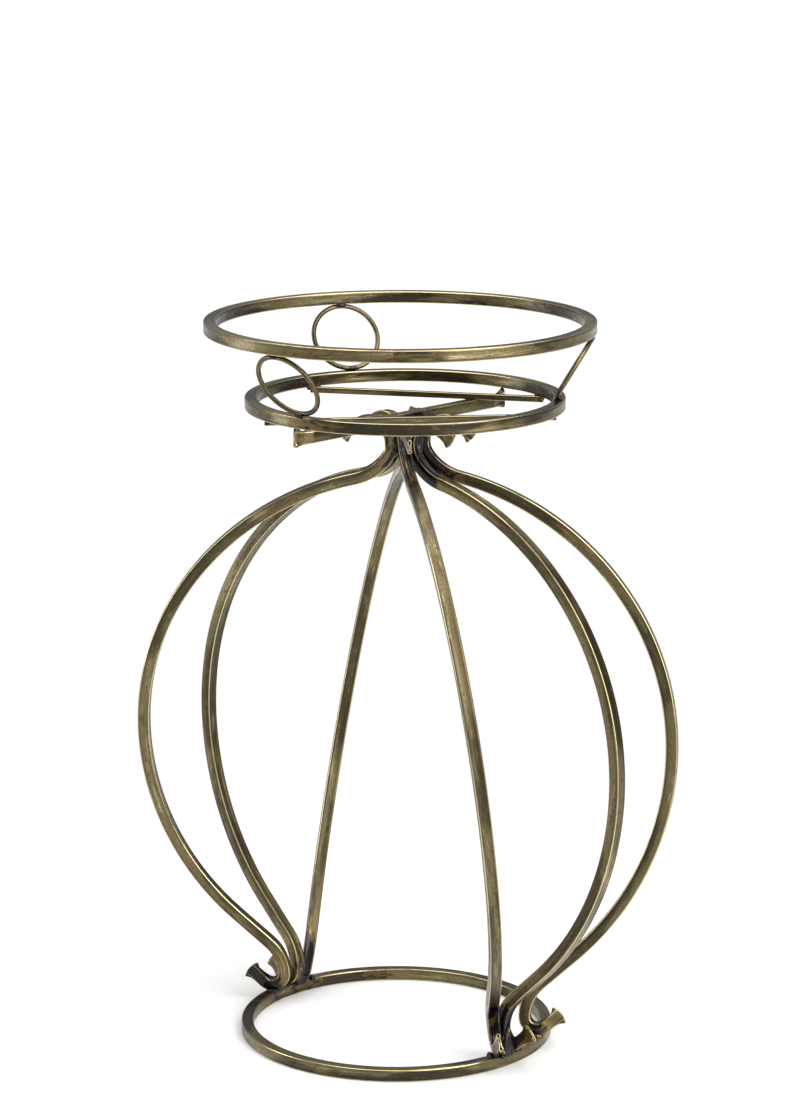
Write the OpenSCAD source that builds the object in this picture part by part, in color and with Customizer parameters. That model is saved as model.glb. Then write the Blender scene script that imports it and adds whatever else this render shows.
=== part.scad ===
// Welded single plant stand: six bowed square-tube legs on a base ring, pinched together at a
// neck that carries a holder ring and, on three wire hoops, a wider guard ring.
// Millimetres, +Z up. The origin is the base ring's centre on the floor.
// Angles are seen from above, counted anticlockwise from +X; the front of the stand faces -Y.

/* [Square tube] */
// Side of the square tube
tube = 10; // [8:0.5:12]
// Outer corner radius of the tube
tube_corner = 1.5; // [0.8:0.1:2.5]
// Wall of the tube
tube_wall = 1.2; // [0.8:0.1:2]

/* [Rings] */
// Centre-line radius of the base ring
base_r = 124.5; // [100:0.5:150]
// Centre-line radius of the holder ring
holder_r = 124.5; // [100:0.5:150]
// Sideways offset of the holder ring from the base ring
holder_x = 7; // [0:0.5:10]
// Centre-line radius of the guard ring
guard_r = 153; // [130:0.5:185]
// Sideways offset of the guard ring from the base ring
guard_x = 3; // [0:0.5:10]
// Clear height between the holder ring and the guard ring
ring_gap = 52; // [40:0.5:70]

/* [Leg bow] */
// Radius of the middle of the bow
bow_mid_r = 219; // [200:1:245]
// Angle turned by the middle of the bow
bow_mid_turn = 38; // [30:0.5:46]
// Radius of the bow on either side of its middle
bow_side_r = 234.5; // [210:1:260]
// Angle turned on either side of the middle
bow_side_turn = 43; // [38:0.5:46]
// Straight run between the foot bend and the bow
foot_run = 37.5; // [25:0.5:50]
// Radius of the bend above the foot hook
foot_bend_r = 39; // [25:0.5:50]
// Slope of the straight run, from upright
foot_slope = 46.5; // [40:0.5:52]
// Radius of the bend below the neck
neck_bend_r = 45; // [36:0.5:60]
// Slope left to the neck hook's own radius
neck_slope = 34.5; // [20:0.5:45]

/* [Hooks and pinched ends] */
// Radius of the foot hook
foot_hook_r = 10.5; // [9:0.5:16]
// Rise of the foot's end above level
foot_rise = 42; // [20:1:60]
// Radius of the neck hook
neck_hook_r = 17; // [14:0.5:20]
// Drop of the neck hook's end below level
neck_drop = 32; // [10:1:45]
// Length of a pinched end
fan_length = 17; // [12:0.5:22]
// Full width of a pinched end
fan_width = 16.5; // [12:0.5:20]
// Thickness of a pinched end
fan_thick = 4; // [3.2:0.1:6]

/* [Leg places] */
// Angle on the base ring of the rear left leg's foot
rear_left_foot = 138; // [136:0.5:140]
// Angle that the rear left leg bows towards
rear_left_bow = 138.5; // [134:0.5:144]
// Tube widths along the base ring from the rear left foot to the left foot
left_step = 2.17; // [2.1:0.01:2.6]
// Tube widths along the base ring from the rear left foot to the rear foot
rear_step = 2.06; // [2:0.01:2.6]
// Angle that the left leg bows towards
left_bow = 175; // [170:0.5:180]
// Angle that the rear leg bows towards
rear_bow = 92; // [88:0.5:98]
// Angle on the base ring of the front right leg's foot
front_right_foot = -40.5; // [-43:0.5:-37]
// Angle that the front right leg bows towards
front_right_bow = -40.5; // [-46:0.5:-35]
// Tube widths along the base ring from the front right foot to the right foot
right_step = 4.24; // [3.2:0.01:5]
// Tube widths along the base ring from the front right foot to the front foot
front_step = 1.96; // [1.9:0.01:2.6]
// Angle that the right leg bows towards
right_bow = -9.5; // [-16:0.5:-4]
// Angle that the front leg bows towards
front_bow = -82; // [-87:0.5:-76]

/* [Neck] */
// Neck centre, sideways from the base ring's centre
neck_x = 9; // [4:0.5:14]
// Neck centre, backwards from the base ring's centre
neck_y = 7; // [0:0.5:12]
// Least gap between two legs at the neck
neck_gap = 0.4; // [0.2:0.1:2]
// Angle that the crossbar lies along, between the two groups of legs
bar_angle = 47; // [44:0.5:50]

/* [Rods and hoops] */
// Side of the two square rods under the holder ring
rod = 5; // [4:0.5:7]
// Angles on the holder ring of the front rod's ends
front_rod_ends = [206, 346]; // [0:1:360]
// Angles on the holder ring of the rear rod's ends
rear_rod_ends = [24, 129]; // [0:1:360]
// Distance that a rod's end reaches past the holder ring's inner edge
rod_lap = 4.5; // [2:0.5:8]
// Wire of the three hoops
hoop_wire = 4; // [3:0.5:6]
// Angle of the left, the right and the rear hoop
hoop_angles = [230, 351, 110]; // [0:1:360]
// How far a crossbar's pinched end reaches below the bar's middle
bar_fan_drop = 7; // [5.5:0.5:9]
// Gap between the crossbar and the nearest neck hook
bar_gap = 0.1; // [0.05:0.05:2]
// Radius of a weld bead
bead = 2.2; // [1.5:0.1:3]

/* [Hidden] */
$fn = 64;
half = tube / 2;
flat = half - tube_corner;      // half of the tube's flat face
bore_corner = max(tube_corner - tube_wall, 0.2);
fan_steps = 6;                  // steps along a pinched end
slit = 0.8;                     // gap left inside a pinched end
rod_corner = 0.6;               // corner radius of the square rods
foot_bead = 5;                  // length of a bead beside a foot
neck_bead_length = 9;           // length of a bead between two legs at the neck
neck_bead_out = 2.5;            // how far it stands out from the line between them
hoop_bead = 1.6;                // radius of the beads beside a hoop's contact
bead_seat = 0.05;               // gap between such a bead and the wire
tip_run = 1;                    // straight tube between the neck hook and its pinched end
neck_run = 1;                   // least straight tube between the two bends of the neck
run_trace = 0.02;               // how much slimmer every second run of a tube is, each side
run_lap = 0.1;                  // how far such a run reaches into its neighbours

function ring_angle(steps) = steps * tube / base_r * 180 / PI;
// A leg is its place at the neck in tube pitches, its foot's angle and its bow's angle. The
// three right-hand legs stand opposite the three left-hand ones, half a turn round the neck.
END_SLOT = [-1.27, -0.27];
MIDDLE_SLOT = [-0.44, 0.6];
FAR_SLOT = [0.3, 1.55];
LEFT = [END_SLOT, rear_left_foot + ring_angle(left_step), left_bow];
REAR_LEFT = [MIDDLE_SLOT, rear_left_foot, rear_left_bow];
REAR = [FAR_SLOT, rear_left_foot - ring_angle(rear_step), rear_bow];
RIGHT = [-END_SLOT, front_right_foot + ring_angle(right_step), right_bow];
FRONT_RIGHT = [-MIDDLE_SLOT, front_right_foot, front_right_bow];
FRONT = [-FAR_SLOT, front_right_foot - ring_angle(front_step), front_bow];
LEFT_LEGS = [LEFT, REAR_LEFT, REAR];
RIGHT_LEGS = [RIGHT, FRONT_RIGHT, FRONT];
LEGS = concat(LEFT_LEGS, RIGHT_LEGS);

// ---- The leg's centre line ------------------------------------------------------------
// A leg lies in one plane, x outwards and z up, from the foot hook's centre. A run is
// [length or radius, turn]: no turn is straight, a positive turn bends outwards.
// A state is [x, z, heading], the heading counted from straight up towards outwards.
leg_runs = [
    [foot_hook_r, 90 + foot_rise],
    [foot_bend_r, foot_slope],
    [foot_run, 0],
    [bow_side_r, -bow_side_turn],
    [bow_mid_r, -bow_mid_turn],
    [bow_side_r, -bow_side_turn],
    [neck_bend_r, 2 * bow_side_turn + bow_mid_turn - foot_slope - neck_slope],
    [neck_hook_r, neck_slope]
];
leg_start = [foot_hook_r * sin(foot_rise), -foot_hook_r * cos(foot_rise), -90 - foot_rise];

function step(s, run) = run[1] == 0
    ? [s[0] + run[0] * sin(s[2]), s[1] + run[0] * cos(s[2]), s[2]]
    : let (side = sign(run[1]), to = s[2] + run[1])
        [s[0] + side * run[0] * (cos(s[2]) - cos(to)),
         s[1] + side * run[0] * (sin(to) - sin(s[2])), to];
function state(i) = i == 0 ? leg_start : step(state(i - 1), leg_runs[i - 1]);

neck_point = state(len(leg_runs));
leg_reach = norm([neck_point[0], neck_point[1]]);

// ---- Where a leg stands ---------------------------------------------------------------
neck = [neck_x, neck_y];
function outward(leg) = [cos(leg[2]), sin(leg[2])];
function sideways(leg) = [-sin(leg[2]), cos(leg[2])];
function foot_place(leg) = base_r * [cos(leg[1]), sin(leg[1])];
function neck_place(leg) = neck + (tube + neck_gap) * leg[0];
function span_out(leg) = (neck_place(leg) - foot_place(leg)) * outward(leg);
function span_side(leg) = (neck_place(leg) - foot_place(leg)) * sideways(leg);
function span_up(leg) = sqrt(pow(leg_reach, 2) - pow(span_out(leg), 2));
function lean(leg) = asin(span_side(leg) / span_up(leg));
function tip_in(leg) = atan2(neck_point[0], neck_point[1]) - atan2(span_out(leg), span_up(leg));
// Distance from a hook's centre to its lowest or highest point, with the leg leaning
function hook_support(r, leg) =
    (r + flat) * cos(lean(leg)) + flat * abs(sin(lean(leg))) + tube_corner;
function hook_height(leg) = tube + hook_support(foot_hook_r, leg);
function height_of(leg, x, z) =
    hook_height(leg) + cos(lean(leg)) * (x * sin(tip_in(leg)) + z * cos(tip_in(leg)));
function plain_top(leg) =
    height_of(leg, neck_point[0] + neck_hook_r, neck_point[1] + neck_run)
    + hook_support(neck_hook_r, leg);
neck_top = max([for (leg = LEGS) plain_top(leg)]);
// Straight length at the neck that brings every hook up to the same height
function neck_rise(leg) =
    neck_run + (neck_top - plain_top(leg)) / (cos(lean(leg)) * cos(tip_in(leg)));

// ---- Heights ----------------------------------------------------------------------------
// The crossbar lies in the trough between the hooks, as low as its rounded lower edges can go.
bar_way = [cos(bar_angle), sin(bar_angle)];
// A place on one of a neck hook's two outer edges: outwards, sideways and up from the neck
function hook_edge(leg, turn, edge) =
    let (tip = tip_in(leg), lean = lean(leg), rise = neck_rise(leg), r = neck_hook_r + flat,
         out = neck_hook_r * cos(tip) - rise * sin(tip) - r * cos(turn),
         up = neck_hook_r * sin(tip) + rise * cos(tip) + r * sin(turn),
         side = edge * flat)
        [out, side * cos(lean) + up * sin(lean), up * cos(lean) - side * sin(lean)];
// Height of the bar's middle at which its lower edge just clears that place, if it is near
function bar_height(leg, place) =
    let (spot = neck_place(leg) - neck + place[0] * outward(leg) + place[1] * sideways(leg),
         aside = max(0, abs(cross(bar_way, spot)) - flat),
         apart = 2 * tube_corner + bar_gap,
         neck_z = height_of(leg, neck_point[0], neck_point[1]))
        aside < apart ? neck_z + place[2] + sqrt(apart * apart - aside * aside) + flat : 0;
bar_z = max([
    for (leg = LEGS, turn = [0:90], edge = [-1, 1])
        let (place = hook_edge(leg, turn, edge))
            bar_height(leg, place)
]);
rod_z = bar_z + half;
holder_z = rod_z + rod;
hoop_z = holder_z + tube;
guard_z = hoop_z + ring_gap;

// ---- Profiles -------------------------------------------------------------------------
module rounded_square(side, corner) {
    square([side, side - 2 * corner], center = true);
    square([side - 2 * corner, side], center = true);
    for (x = [-1, 1], y = [-1, 1])
        translate([x, y] * (side / 2 - corner))
            circle(corner);
}

// The runs of one tube merge into one solid: every second run is a trace slimmer than its
// neighbours and reaches a little way into their walls.
module tube_profile(slim = false, filled = false) {
    trace = slim ? run_trace : 0;
    difference() {
        rounded_square(tube - 2 * trace, tube_corner - trace);
        if (!filled)
            rounded_square(tube - 2 * tube_wall + 2 * trace, bore_corner + trace);
    }
}

module ring(r, filled = false) {
    translate([0, 0, half])
        rotate_extrude($fn = 180)
            translate([r, 0])
                tube_profile(filled = filled);
}

// A tube's bend starts upwards at the origin and turns to one side
module bend(r, turn, slim = false, filled = false) {
    lap = slim ? run_lap / r * 180 / PI : 0;
    mirror([turn > 0 ? 1 : 0, 0, 0])
        translate([-r, 0, 0])
            rotate([90, 0, 0])
                rotate([0, 0, -lap])
                    rotate_extrude(angle = abs(turn) + 2 * lap, $fn = 180)
                        translate([r, 0])
                            tube_profile(slim, filled);
}

module straight(length, slim = false, filled = false) {
    lap = slim ? run_lap : 0;
    translate([0, 0, -lap])
        linear_extrude(length + 2 * lap)
            tube_profile(slim, filled);
}

// ---- Pinched end --------------------------------------------------------------------------
// The tube is squeezed flat across the leg's plane, so it spreads to a fan in that plane.
function ease(a, b, t) = a + (b - a) * (1 - cos(180 * t)) / 2;

module fan_outline(low, high, inset) {
    steps = [for (i = [0:fan_steps]) i / fan_steps];
    polygon(concat(
        [for (t = steps) [ease(half, high, t) - inset, t * fan_length]],
        [for (i = [fan_steps:-1:0]) [inset - ease(half, low, i / fan_steps), i / fan_steps * fan_length]]
    ));
}

module fan_body(low, high, thick, inset) {
    intersection() {
        rotate([90, 0, 0])
            linear_extrude(tube, center = true)
                fan_outline(low, high, inset);
        rotate([90, 0, 90])
            linear_extrude(4 * fan_width, center = true)
                fan_outline(thick, thick, inset);
    }
}

module fan(low = fan_width / 2, high = fan_width / 2) {
    difference() {
        fan_body(low, high, fan_thick / 2, 0);
        fan_body(low, high, slit / 2 + tube_wall, tube_wall);
    }
}

// ---- Pieces -------------------------------------------------------------------------------
module base_ring() {
    color([0.42, 0.37, 0.24])
        ring(base_r);
}

module holder_ring() {
    color([0.45, 0.39, 0.25])
        translate([holder_x, 0, holder_z])
            ring(holder_r);
}

module guard_ring() {
    color([0.50, 0.44, 0.29])
        translate([guard_x, 0, guard_z])
            ring(guard_r);
}

module at_state(s) {
    translate([s[0], 0, s[1]])
        rotate([0, s[2], 0])
            children();
}

module leg_in_plane(rise) {
    at_state(leg_start)
        rotate([0, 180, 0])
            fan();
    for (i = [0:len(leg_runs) - 1])
        at_state(state(i))
            if (leg_runs[i][1] == 0)
                straight(leg_runs[i][0], slim = i % 2 == 0);
            else
                bend(leg_runs[i][0], leg_runs[i][1], slim = i % 2 == 0);
    at_state(neck_point) {
        straight(rise, slim = true);
        translate([0, 0, rise])
            bend(neck_hook_r, 90 + neck_drop);
        translate([neck_hook_r, 0, rise])
            rotate([0, 90 + neck_drop, 0])
                translate([-neck_hook_r, 0, 0]) {
                    straight(tip_run, slim = true);
                    translate([0, 0, tip_run])
                        fan();
                }
    }
}

module place_leg(leg) {
    translate([foot_place(leg)[0], foot_place(leg)[1], hook_height(leg)])
        rotate([0, 0, leg[2]])
            rotate([-lean(leg), 0, 0])
                rotate([0, -tip_in(leg), 0])
                    children();
}

module leg(leg) {
    color([0.40, 0.35, 0.23])
        place_leg(leg)
            leg_in_plane(neck_rise(leg));
}

// The crossbar lies in the trough between the two groups of neck hooks
function bar_reach(side) =
    let (off = neck - [holder_x, 0], way = side * bar_way)
        sqrt(pow(off * way, 2) - off * off + pow(holder_r, 2)) - off * way;

module bar_half(side) {
    length = bar_reach(side) - fan_length;
    straight(length, slim = true);
    translate([0, 0, length])
        if (side > 0)
            fan(low = half + rod, high = bar_fan_drop);
        else
            fan(low = bar_fan_drop, high = half + rod);
}

module crossbar() {
    color([0.38, 0.34, 0.26])
        translate([neck_x, neck_y, bar_z])
            rotate([0, 0, bar_angle])
                for (side = [-1, 1])
                    rotate([0, side * 90, 0])
                        bar_half(side);
}

function ring_point(angle, r) = [holder_x + r * cos(angle), r * sin(angle)];

module rod_bar(ends) {
    reach = holder_r - half + rod_lap;
    from = ring_point(ends[0], reach);
    to = ring_point(ends[1], reach);
    way = to - from;
    translate([from[0], from[1], rod_z + rod / 2])
        rotate([0, 0, atan2(way[1], way[0])])
            rotate([90, 0, 90])
                linear_extrude(norm(way))
                    rounded_square(rod, rod_corner);
}

module front_rod() {
    color([0.40, 0.35, 0.22])
        rod_bar(front_rod_ends);
}

module rear_rod() {
    color([0.40, 0.35, 0.22])
        rod_bar(rear_rod_ends);
}

// A hoop leans outwards from the holder ring's centre line to the guard ring's, and just fills
// the height between the two rings
hoop_r = norm([guard_r - holder_r, ring_gap - hoop_wire]) / 2;
hoop_lean = atan2(guard_r - holder_r, ring_gap - hoop_wire);
hoop_middle_r = (holder_r + guard_r) / 2;

module place_hoop(angle) {
    translate([(holder_x + guard_x) / 2, 0, hoop_z + ring_gap / 2])
        rotate([0, 0, angle])
            translate([hoop_middle_r, 0, 0])
                rotate([0, hoop_lean, 0])
                    children();
}

module hoop_body(angle) {
    place_hoop(angle)
        rotate([0, 90, 0])
            rotate_extrude($fn = 120)
                translate([hoop_r, 0])
                    circle(hoop_wire / 2);
}

module hoop(angle) {
    color([0.36, 0.31, 0.20])
        hoop_body(angle);
}

// ---- Welds ----------------------------------------------------------------------------------
// A bead is a short rounded bar, cut to the outer faces of what it joins.
module bead_bar(length) {
    rotate([0, 90, 0])
        cylinder(r = bead, h = length, center = true);
    for (x = [-1, 1])
        translate([x * length / 2, 0, 0])
            sphere(bead);
}

module foot_disc(leg) {
    place_leg(leg)
        rotate([90, 0, 0])
            cylinder(r = foot_hook_r + half, h = tube, center = true, $fn = 180);
}

module foot_beads(legs) {
    color([0.24, 0.20, 0.16])
        difference() {
            for (leg = legs, side = [-1, 1])
                translate([foot_place(leg)[0], foot_place(leg)[1], tube])
                    rotate([0, 0, leg[2]])
                        translate([0, side * half, 0])
                            bead_bar(foot_bead);
            cylinder(r = base_r + tube, h = tube, $fn = 180);
            for (leg = legs)
                foot_disc(leg);
        }
}

// The filled shape of a leg's tube through the neck
module neck_stock(leg) {
    place_leg(leg) {
        at_state(state(len(leg_runs) - 1))
            bend(neck_hook_r, neck_slope, filled = true);
        at_state(neck_point) {
            straight(neck_rise(leg), slim = true, filled = true);
            translate([0, 0, neck_rise(leg)])
                bend(neck_hook_r, 90, filled = true);
        }
    }
}

// A bead stands upright in the outer cleft between two neighbouring legs
module neck_bead(a, b) {
    between = (neck_place(a) + neck_place(b)) / 2;
    out = (between - neck) / norm(between - neck);
    spot = between + neck_bead_out * out;
    difference() {
        translate([spot[0], spot[1], height_of(a, neck_point[0], neck_point[1])])
            rotate([0, 90, 0])
                bead_bar(neck_bead_length);
        neck_stock(a);
        neck_stock(b);
    }
}

module neck_welds() {
    color([0.20, 0.17, 0.14]) {
        neck_bead(LEFT, FRONT);
        neck_bead(FRONT, FRONT_RIGHT);
        neck_bead(FRONT_RIGHT, RIGHT);
        neck_bead(RIGHT, REAR);
        neck_bead(REAR, REAR_LEFT);
        neck_bead(REAR_LEFT, LEFT);
    }
}

// Beads on both sides of each rod's ends, against the holder ring's inner face
module rod_welds() {
    color([0.22, 0.19, 0.15])
        difference() {
            for (angle = concat(front_rod_ends, rear_rod_ends), side = [-1, 1])
                translate([holder_x, 0, holder_z])
                    rotate([0, 0, angle])
                        translate([holder_r - half + bead / 2, side * (rod + bead) / 2, 0])
                            sphere(bead);
            translate([holder_x, 0, holder_z])
                ring(holder_r, filled = true);
            rod_bar(front_rod_ends);
            rod_bar(rear_rod_ends);
        }
}

// A bead in the sharp cleft between each hoop and a ring, just clear of the wire: outside the
// hoop's foot and inside its head
module hoop_welds() {
    rise = hoop_bead / 2;
    beside = sqrt(pow(hoop_wire / 2 + hoop_bead + bead_seat, 2) - pow(hoop_wire / 2 - rise, 2));
    color([0.22, 0.19, 0.15])
        difference() {
            for (angle = hoop_angles, end = [-1, 1])
                translate([(holder_x + guard_x) / 2, 0, end < 0 ? hoop_z + rise : guard_z - rise])
                    rotate([0, 0, angle])
                        translate([hoop_middle_r + end * (hoop_r * sin(hoop_lean) - beside), 0, 0])
                            sphere(hoop_bead);
            translate([holder_x, 0, holder_z])
                ring(holder_r, filled = true);
            translate([guard_x, 0, guard_z])
                ring(guard_r, filled = true);
        }
}

base_ring();
holder_ring();
guard_ring();
leg(LEFT);  // leg_left
leg(REAR_LEFT);  // leg_rear_left
leg(REAR);  // leg_rear
leg(RIGHT);  // leg_right
leg(FRONT_RIGHT);  // leg_front_right
leg(FRONT);  // leg_front
crossbar();
front_rod();
rear_rod();
hoop(hoop_angles[0]);  // hoop_left
hoop(hoop_angles[1]);  // hoop_right
hoop(hoop_angles[2]);  // hoop_rear
foot_beads(LEFT_LEGS);  // left_foot_welds
foot_beads(RIGHT_LEGS);  // right_foot_welds
neck_welds();
rod_welds();
hoop_welds();
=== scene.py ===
# %% [markdown]
# # A welded plant stand in antique brass
#
# The stand is made of square steel tube, bent by hand, pinched at the ends, welded together and
# then brushed over with a brass patina. The CAD model holds its true sizes. This script keeps
# those sizes and gives every piece the surface that the real one has: soft tube corners, pinched
# ends with their slit, lumpy welds, brushed metal and burnt zones.

# %% Load the frame
from math import asin, atan2, cos, degrees, hypot, pi, radians, sin, sqrt

import bmesh
import bpy
from mathutils import Matrix, Vector, noise


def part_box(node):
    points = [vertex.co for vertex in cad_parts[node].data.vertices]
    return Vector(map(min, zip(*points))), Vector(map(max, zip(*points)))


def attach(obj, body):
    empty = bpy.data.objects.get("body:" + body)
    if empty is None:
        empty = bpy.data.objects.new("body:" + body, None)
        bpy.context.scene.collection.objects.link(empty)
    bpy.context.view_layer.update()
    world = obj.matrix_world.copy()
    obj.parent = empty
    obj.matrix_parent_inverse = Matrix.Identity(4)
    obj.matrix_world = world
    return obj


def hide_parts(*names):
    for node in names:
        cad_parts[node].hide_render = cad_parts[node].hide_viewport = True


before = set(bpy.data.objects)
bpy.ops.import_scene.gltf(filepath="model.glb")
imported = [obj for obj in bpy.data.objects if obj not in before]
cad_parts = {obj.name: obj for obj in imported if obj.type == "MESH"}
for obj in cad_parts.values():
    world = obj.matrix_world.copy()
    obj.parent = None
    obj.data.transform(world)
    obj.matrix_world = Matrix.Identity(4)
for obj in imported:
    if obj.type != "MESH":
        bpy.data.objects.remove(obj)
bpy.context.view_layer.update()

# %% [markdown]
# ## Sizes
#
# A workshop drawing gives a bent tube as a list of runs: so much straight, then a bend of that
# radius through that angle. The same list is used here, because a tube that is bent again from
# its own drawing lands exactly where the CAD tube is. What the frame already knows is read from
# the frame and not typed again.

# %% The tube and the rings, from the frame
MM = 0.001


def thickness(node):
    """Height of a CAD node that lies flat, which is its bar's thickness."""
    low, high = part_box(node)
    return high.z - low.z


def ring_size(node):
    """Centre of a ring's underside and the radius of its centre line."""
    low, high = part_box(node)
    centre = (low + high) / 2
    return Vector((centre.x, centre.y, low.z)), (high.x - low.x) / 2 - HALF


TUBE = thickness("base_ring")
HALF = TUBE / 2
CORNER = 1.5 * MM
WALL = 1.2 * MM
FLAT = HALF - CORNER
BASE_AT, BASE_R = ring_size("base_ring")
HOLDER_AT, HOLDER_R = ring_size("holder_ring")
GUARD_AT, GUARD_R = ring_size("guard_ring")
ROD = thickness("front_rod")
BAR_Z = HOLDER_AT.z - ROD - HALF
print("tube", round(TUBE, 4), "rings", [round(r, 4) for r in (BASE_R, HOLDER_R, GUARD_R)])

# %% The runs of a leg, from the foot to the neck
FOOT_HOOK_R, FOOT_RISE = 10.5 * MM, radians(42)
FOOT_BEND_R, FOOT_SLOPE, FOOT_RUN = 39 * MM, radians(46.5), 37.5 * MM
BOW_SIDE_R, BOW_SIDE_TURN = 234.5 * MM, radians(43)
BOW_MID_R, BOW_MID_TURN = 219 * MM, radians(38)
NECK_BEND_R, NECK_SLOPE = 45 * MM, radians(34.5)
NECK_HOOK_R, NECK_DROP, NECK_RUN = 17 * MM, radians(32), 1 * MM
TIP_RUN = 1 * MM
QUARTER = pi / 2

# A run is (length or radius, turn). No turn is straight, a positive turn bends outwards.
LEG_RUNS = [
    (FOOT_HOOK_R, QUARTER + FOOT_RISE),
    (FOOT_BEND_R, FOOT_SLOPE),
    (FOOT_RUN, 0),
    (BOW_SIDE_R, -BOW_SIDE_TURN),
    (BOW_MID_R, -BOW_MID_TURN),
    (BOW_SIDE_R, -BOW_SIDE_TURN),
    (NECK_BEND_R, 2 * BOW_SIDE_TURN + BOW_MID_TURN - FOOT_SLOPE - NECK_SLOPE),
    (NECK_HOOK_R, NECK_SLOPE),
]
LEG_START = (FOOT_HOOK_R * sin(FOOT_RISE), -FOOT_HOOK_R * cos(FOOT_RISE), -QUARTER - FOOT_RISE)


def after(state, run):
    """State (x outwards, z up, heading from upright towards outwards) at the end of a run."""
    x, z, heading = state
    size, turn = run
    if turn == 0:
        return x + size * sin(heading), z + size * cos(heading), heading
    side = 1 if turn > 0 else -1
    end = heading + turn
    x += side * size * (cos(heading) - cos(end))
    z += side * size * (sin(end) - sin(heading))
    return x, z, end


neck_state = LEG_START
for leg_run in LEG_RUNS:
    neck_state = after(neck_state, leg_run)
NECK_X, NECK_Z, _ = neck_state
LEG_REACH = hypot(NECK_X, NECK_Z)
print("foot to neck in a leg's own plane:", round(LEG_REACH, 4))

# %% Where the six legs stand
NECK = Vector((9 * MM, 7 * MM))
NECK_PITCH = TUBE + 0.4 * MM
END_SLOT, MIDDLE_SLOT, FAR_SLOT = (Vector(s) for s in ((-1.27, -0.27), (-0.44, 0.6), (0.3, 1.55)))


def foot_angle(start, tube_widths):
    """Angle on the base ring, so many tube widths along it from a starting angle."""
    return radians(start) + tube_widths * TUBE / BASE_R


# A leg is its place at the neck, its foot's angle on the ring and the angle that it bows to.
LEGS = {
    "leg_left": (END_SLOT, foot_angle(138, 2.17), radians(175)),
    "leg_rear_left": (MIDDLE_SLOT, foot_angle(138, 0), radians(138.5)),
    "leg_rear": (FAR_SLOT, foot_angle(138, -2.06), radians(92)),
    "leg_right": (-END_SLOT, foot_angle(-40.5, 4.24), radians(-9.5)),
    "leg_front_right": (-MIDDLE_SLOT, foot_angle(-40.5, 0), radians(-40.5)),
    "leg_front": (-FAR_SLOT, foot_angle(-40.5, -1.96), radians(-82)),
}
LEFT_LEGS, RIGHT_LEGS = list(LEGS)[:3], list(LEGS)[3:]


def foot_place(leg):
    angle = LEGS[leg][1]
    return Vector((BASE_R * cos(angle), BASE_R * sin(angle)))


def neck_place(leg):
    return NECK + NECK_PITCH * LEGS[leg][0]


def outward(leg):
    bow = LEGS[leg][2]
    return Vector((cos(bow), sin(bow)))


def sideways(leg):
    bow = LEGS[leg][2]
    return Vector((-sin(bow), cos(bow)))


def lean_and_tip(leg):
    """How far a leg's plane leans sideways, and how far the leg tips in within that plane."""
    span = neck_place(leg) - foot_place(leg)
    out, side = span.dot(outward(leg)), span.dot(sideways(leg))
    up = sqrt(LEG_REACH ** 2 - out ** 2)
    return asin(side / up), atan2(NECK_X, NECK_Z) - atan2(out, up)


def hook_support(radius, leg):
    """Distance from a hook's centre to its lowest or highest point, with the leg leaning."""
    lean, _ = lean_and_tip(leg)
    return (radius + FLAT) * cos(lean) + FLAT * abs(sin(lean)) + CORNER


def height_on(leg, x, z):
    """Height over the floor of a point in a leg's own plane."""
    lean, tip = lean_and_tip(leg)
    foot = TUBE + hook_support(FOOT_HOOK_R, leg)
    return foot + cos(lean) * (x * sin(tip) + z * cos(tip))


def plain_top(leg):
    """Height of the neck hook's top before the neck is lengthened."""
    top = height_on(leg, NECK_X + NECK_HOOK_R, NECK_Z + NECK_RUN)
    return top + hook_support(NECK_HOOK_R, leg)


NECK_TOP = max(plain_top(leg) for leg in LEGS)


def neck_rise(leg):
    """Straight length at the neck that brings every hook up to the same height."""
    lean, tip = lean_and_tip(leg)
    return NECK_RUN + (NECK_TOP - plain_top(leg)) / (cos(lean) * cos(tip))


def leg_place(leg):
    """The matrix that stands a leg, bent in its own plane, on the base ring."""
    lean, tip = lean_and_tip(leg)
    foot = foot_place(leg)
    stand = Matrix.Translation((foot.x, foot.y, TUBE + hook_support(FOOT_HOOK_R, leg)))
    turn = Matrix.Rotation(LEGS[leg][2], 4, "Z")
    return stand @ turn @ Matrix.Rotation(-lean, 4, "X") @ Matrix.Rotation(-tip, 4, "Y")


# %% [markdown]
# ## The tube bender
#
# A bent tube could be a curve with a bevel profile, but a curve twists where it bends in space,
# and its ends stay open. Bending a ring of points step by step is what the real machine does: the
# section is drawn once, `extrude` feeds it straight on, and `spin` takes it round a bend.
#
# While the tube is fed, each point also remembers where it was in the straight bar: across the
# section in X and Y, along the bar in Z. The brushed finish is laid on those coordinates, so the
# brush lines follow every bend and never stretch.

# %% The section
FEED_STEP, LEAST_STEPS = 2.5 * MM, 4
CORNER_CUTS = 4
FLAT_CUTS = 7
# Width of the painted shade line beside each corner, which stands in for a dark reflection.
PAINTED_SHADE_LINE_WIDTH = 1.9 * MM
CORNER_BEGINS = 0.01


def draw_section(bm, side, corner):
    """A square ring of edges whose corners the bevel operator rounds."""
    bmesh.ops.create_grid(bm, x_segments=1, y_segments=1, size=side / 2)
    bmesh.ops.bevel(bm, geom=bm.verts[:], offset=corner, offset_type="OFFSET",
                    segments=CORNER_CUTS, profile=0.5, affect="VERTICES", material=-1)
    bmesh.ops.delete(bm, geom=bm.faces[:], context="FACES_ONLY")
    flats = [edge for edge in bm.edges if edge.calc_length() > corner]
    bmesh.ops.subdivide_edges(bm, edges=flats, cuts=FLAT_CUTS)


def corner_share(x, y, half, flat):
    """1 in a rounded corner's middle, -1 (painted shade) at the flats, back to 0 along them."""
    beyond = min(abs(x), abs(y)) - flat
    # On the flats next to a corner the share goes below 0: a line of painted shade.
    if beyond < CORNER_BEGINS * (half - flat):
        return -max(0.0, 1 + beyond / PAINTED_SHADE_LINE_WIDTH)
    return min(1.0, beyond / (half - flat) / cos(QUARTER / 2))


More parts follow.
